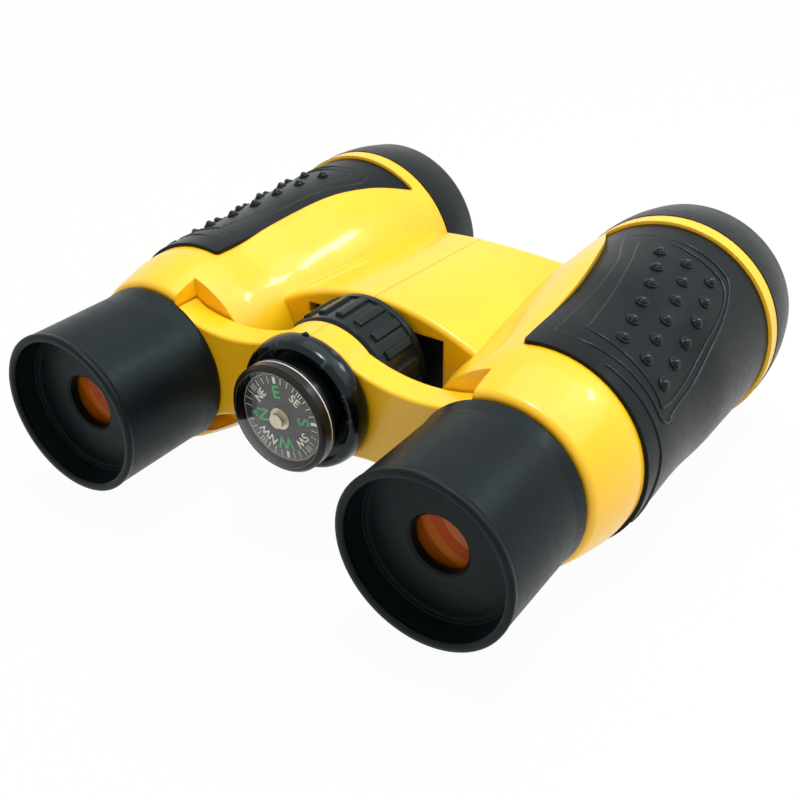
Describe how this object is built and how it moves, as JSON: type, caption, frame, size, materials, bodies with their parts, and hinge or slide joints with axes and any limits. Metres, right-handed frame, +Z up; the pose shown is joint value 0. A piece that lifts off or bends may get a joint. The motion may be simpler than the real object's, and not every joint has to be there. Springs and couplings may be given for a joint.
{
  "type": "toy binoculars",
  "caption": "Toy binoculars with flared eyecups, rubber grips, a ribbed centre focus wheel that slides the eyepiece bridge, and a round compass between the eyecups.",
  "frame": {"origin": "centre of the footprint, on the surface that the objective rings touch when the barrels are level", "axes": "+X to the user's right, +Y from the eyecups to the objectives, +Z up"},
  "size_m": [0.1022, 0.0922, 0.0382],
  "materials": {
    "yellow_plastic": "moulded, satin gloss",
    "grip_rubber": "soft moulded rubber, satin",
    "ring_plastic": "moulded, satin",
    "eyecup_plastic": "fine matt texture",
    "wheel_plastic": "moulded, semi-gloss",
    "bracket_plastic": "plain moulded",
    "collar_plastic": "glossy",
    "capsule_plastic": "glossy",
    "card_plastic": "printed, matt",
    "clear_plastic": "clear, polished",
    "amber_glass": "amber tinted, polished",
    "eyepiece_glass": "amber tinted, polished",
    "nut_brass": "machined",
    "bearing_metal": "turned, nickel toned",
    "screw_steel": "zinc plated"
  },
  "bodies": {
    "housing": {"body_right_half": "yellow_plastic", "body_left_half": "yellow_plastic", "assembly_screws": "screw_steel", "grip_right": "grip_rubber", "grip_left": "grip_rubber", "objective_ring_right": "ring_plastic", "objective_ring_left": "ring_plastic", "objective_lens_right": "amber_glass", "objective_lens_left": "amber_glass", "focus_bracket": "bracket_plastic"},
    "wheel": {"focus_wheel": "wheel_plastic", "focus_nut": "nut_brass", "thrust_washer": "screw_steel", "retaining_clip": "screw_steel"},
    "eyepieces": {"eyepiece_bridge_right": "yellow_plastic", "eyepiece_bridge_left": "yellow_plastic", "eyecup_right": "eyecup_plastic", "eyecup_left": "eyecup_plastic", "eyepiece_lens_right": "eyepiece_glass", "eyepiece_lens_left": "eyepiece_glass", "focus_screw": "screw_steel", "compass_collar": "collar_plastic", "compass_capsule": "capsule_plastic", "compass_pivot": "screw_steel", "compass_window": "clear_plastic"},
    "card": {"compass_card": "card_plastic", "card_bearing": "bearing_metal", "card_magnet": "screw_steel"}
  },
  "joints": [
    {"name": "focus_wheel_turn", "type": "hinge", "parent": "housing", "child": "wheel", "pos_m": [0, -0.01605, 0.02303], "axis": [0, 1, 0], "range_deg": [0, 1080]},
    {"name": "focus_slide", "type": "slide", "parent": "housing", "child": "eyepieces", "axis": [0, -1, 0], "range_m": [0, 0.006]},
    {"name": "compass_card_turn", "type": "hinge", "parent": "eyepieces", "child": "card", "pos_m": [0, -0.03365, 0.02303], "axis": [0, 1, 0], "continuous": true}
  ],
  "couplings": [
    {"joint": "focus_wheel_turn", "follows": "focus_slide", "rad_per_m": 3141.6}
  ]
}
